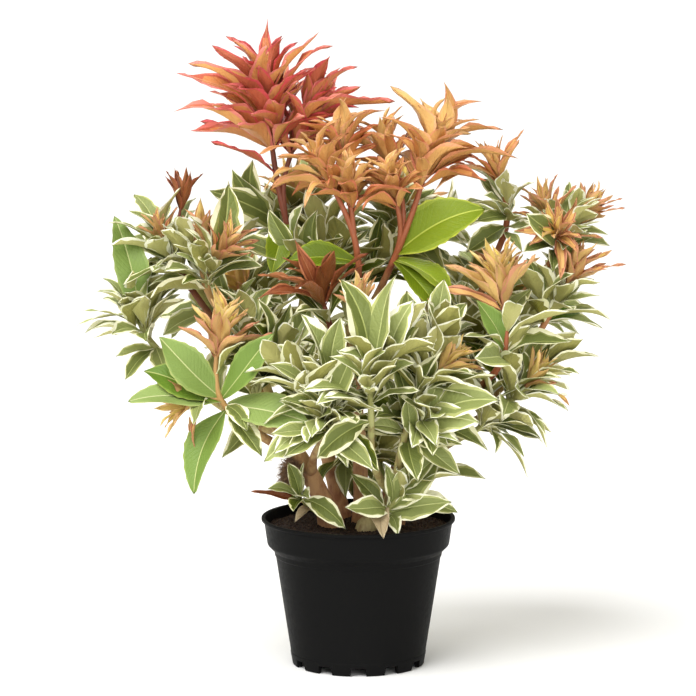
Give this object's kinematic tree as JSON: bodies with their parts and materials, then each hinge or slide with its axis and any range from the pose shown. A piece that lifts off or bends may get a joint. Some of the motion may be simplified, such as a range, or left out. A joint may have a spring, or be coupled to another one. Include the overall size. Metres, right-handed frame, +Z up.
{
  "type": "potted japanese pieris",
  "caption": "Variegated Japanese pieris in a round black nursery pot: bare trunks fork into boughs that carry cream-edged green leaves and red and bronze young growth.",
  "frame": {"origin": "centre of the flat disc under the pot, on the floor", "axes": "+Z up, +X to the viewer's right in the picture, +Y away from the viewer"},
  "size_m": [0.5373, 0.3904, 0.632],
  "materials": {
    "pot": "satin",
    "soil": "matte",
    "dry_knot": "matte",
    "trunk_left": "matte",
    "trunk_middle": "matte",
    "trunk_front": "matte",
    "trunk_right": "matte",
    "trunk_back": "matte",
    "trunk_rear": "matte",
    "bough_left_low": "matte",
    "bough_left_far": "matte",
    "bough_left_top": "matte",
    "bough_left_edge": "matte",
    "bough_front_left": "matte",
    "bough_red": "matte",
    "bough_tan_left": "matte",
    "bough_tan_right": "matte",
    "bough_dark": "matte",
    "bough_front_middle": "matte",
    "bough_front_right": "matte",
    "bough_right_bronze": "matte",
    "bough_right_low": "matte",
    "bough_right_reach": "matte",
    "bough_right_top": "matte",
    "bough_right_slim": "matte",
    "bough_right_under": "matte",
    "bough_back_top": "matte",
    "bough_back_low": "matte",
    "bough_rear_top": "matte",
    "bough_rear_low": "matte",
    "leaves_crown_red": "satin",
    "leaves_crown_tan_left": "satin",
    "leaves_crown_tan_right": "satin",
    "leaves_right_slim": "satin",
    "leaves_right_top": "satin",
    "leaves_right_bronze": "satin",
    "leaves_right_reach": "satin",
    "leaves_right_low": "satin",
    "leaves_right_middle": "satin",
    "leaves_right_under": "satin",
    "leaves_front_right": "satin",
    "leaves_front_middle": "satin",
    "leaves_front_low": "satin",
    "leaves_inner_dark": "satin",
    "leaves_front_left": "satin",
    "leaves_left_bronze": "satin",
    "leaves_left_middle": "satin",
    "leaves_left_top": "satin",
    "leaves_left_edge": "satin",
    "leaves_left_far": "satin",
    "leaves_core": "satin",
    "leaves_foot_front": "satin",
    "leaves_foot_left": "satin",
    "leaves_back_left": "satin",
    "leaves_back_top": "satin",
    "leaves_back_low": "satin",
    "leaves_back_right": "satin",
    "leaves_rear_top": "satin",
    "leaves_rear_low": "satin",
    "leaves_foot_back": "satin"
  },
  "bodies": {
    "root": {"pot": "pot", "soil": "soil", "dry_knot": "dry_knot", "trunk_left": "trunk_left", "trunk_middle": "trunk_middle", "trunk_front": "trunk_front", "trunk_right": "trunk_right", "trunk_back": "trunk_back", "trunk_rear": "trunk_rear", "bough_left_low": "bough_left_low", "bough_left_far": "bough_left_far", "bough_left_top": "bough_left_top", "bough_left_edge": "bough_left_edge", "bough_front_left": "bough_front_left", "bough_red": "bough_red", "bough_tan_left": "bough_tan_left", "bough_tan_right": "bough_tan_right", "bough_dark": "bough_dark", "bough_front_middle": "bough_front_middle", "bough_front_right": "bough_front_right", "bough_right_bronze": "bough_right_bronze", "bough_right_low": "bough_right_low", "bough_right_reach": "bough_right_reach", "bough_right_top": "bough_right_top", "bough_right_slim": "bough_right_slim", "bough_right_under": "bough_right_under", "bough_back_top": "bough_back_top", "bough_back_low": "bough_back_low", "bough_rear_top": "bough_rear_top", "bough_rear_low": "bough_rear_low", "leaves_crown_red": "leaves_crown_red", "leaves_crown_tan_left": "leaves_crown_tan_left", "leaves_crown_tan_right": "leaves_crown_tan_right", "leaves_right_slim": "leaves_right_slim", "leaves_right_top": "leaves_right_top", "leaves_right_bronze": "leaves_right_bronze", "leaves_right_reach": "leaves_right_reach", "leaves_right_low": "leaves_right_low", "leaves_right_middle": "leaves_right_middle", "leaves_right_under": "leaves_right_under", "leaves_front_right": "leaves_front_right", "leaves_front_middle": "leaves_front_middle", "leaves_front_low": "leaves_front_low", "leaves_inner_dark": "leaves_inner_dark", "leaves_front_left": "leaves_front_left", "leaves_left_bronze": "leaves_left_bronze", "leaves_left_middle": "leaves_left_middle", "leaves_left_top": "leaves_left_top", "leaves_left_edge": "leaves_left_edge", "leaves_left_far": "leaves_left_far", "leaves_core": "leaves_core", "leaves_foot_front": "leaves_foot_front", "leaves_foot_left": "leaves_foot_left", "leaves_back_left": "leaves_back_left", "leaves_back_top": "leaves_back_top", "leaves_back_low": "leaves_back_low", "leaves_back_right": "leaves_back_right", "leaves_rear_top": "leaves_rear_top", "leaves_rear_low": "leaves_rear_low", "leaves_foot_back": "leaves_foot_back"}
  },
  "joints": []
}
